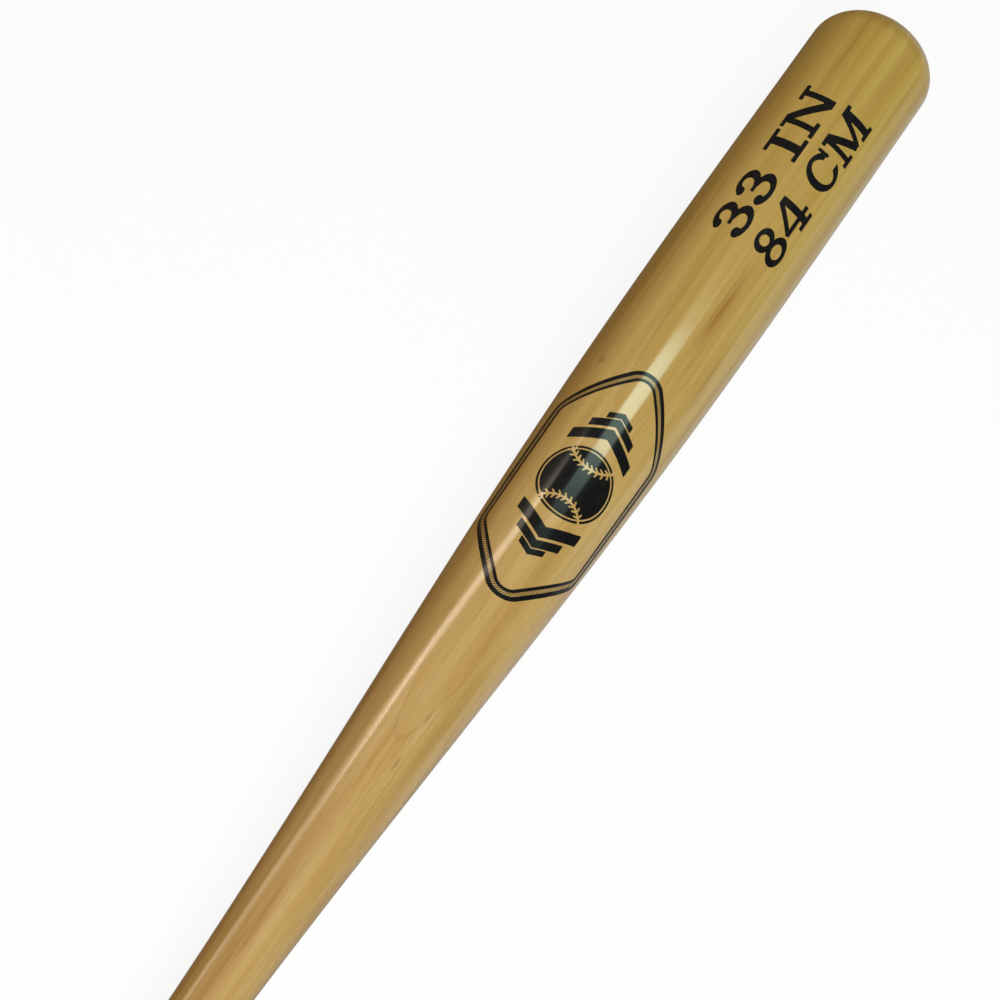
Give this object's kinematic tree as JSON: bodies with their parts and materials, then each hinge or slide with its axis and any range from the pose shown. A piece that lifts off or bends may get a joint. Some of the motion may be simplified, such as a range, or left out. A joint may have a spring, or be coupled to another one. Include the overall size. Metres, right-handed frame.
{
  "type": "baseball bat",
  "caption": "Turned laminated-bamboo baseball bat with a flared knob, thin round handle and long full barrel with a domed tip.",
  "frame": {"origin": "centre of the knob's flat end face, on the bat's axis", "axes": "+X along the bat from the knob to the tip of the barrel, +Z square to the strips' broad faces and out of the printed side, +Y across the strips"},
  "size_m": [0.84, 0.065, 0.065],
  "materials": {
    "lacquered_bamboo": "carbonised-yellow bamboo, sanded and dipped in clear gloss lacquer",
    "printed_ink": "black printing ink under the clear gloss lacquer"
  },
  "bodies": {
    "root": {"barrel_strip_1b": "lacquered_bamboo", "barrel_strip_1c": "lacquered_bamboo", "barrel_strip_2a": "lacquered_bamboo", "barrel_strip_2b": "lacquered_bamboo", "barrel_strip_2c": "lacquered_bamboo", "barrel_strip_3b": "lacquered_bamboo", "barrel_strip_3c": "lacquered_bamboo", "barrel_strip_3d": "lacquered_bamboo", "barrel_strip_4a": "lacquered_bamboo", "barrel_strip_4d": "lacquered_bamboo", "barrel_strip_5a": "lacquered_bamboo", "barrel_strip_5d": "lacquered_bamboo", "barrel_strip_6a": "lacquered_bamboo", "barrel_strip_6d": "lacquered_bamboo", "barrel_strip_7b": "lacquered_bamboo", "barrel_strip_7c": "lacquered_bamboo", "barrel_strip_7d": "lacquered_bamboo", "barrel_strip_8a": "lacquered_bamboo", "barrel_strip_8b": "lacquered_bamboo", "barrel_strip_8c": "lacquered_bamboo", "barrel_strip_9b": "lacquered_bamboo", "barrel_strip_9c": "lacquered_bamboo", "core_strip_4b": "lacquered_bamboo", "core_strip_4c": "lacquered_bamboo", "core_strip_5b": "lacquered_bamboo", "core_strip_5c": "lacquered_bamboo", "core_strip_6b": "lacquered_bamboo", "core_strip_6c": "lacquered_bamboo", "knob_strip_2b": "lacquered_bamboo", "knob_strip_2c": "lacquered_bamboo", "knob_strip_3b": "lacquered_bamboo", "knob_strip_3c": "lacquered_bamboo", "knob_strip_3d": "lacquered_bamboo", "knob_strip_4a": "lacquered_bamboo", "knob_strip_5d": "lacquered_bamboo", "knob_strip_6a": "lacquered_bamboo", "knob_strip_7b": "lacquered_bamboo", "knob_strip_7c": "lacquered_bamboo", "knob_strip_7d": "lacquered_bamboo", "knob_strip_8b": "lacquered_bamboo", "knob_strip_8c": "lacquered_bamboo"}
  },
  "joints": []
}
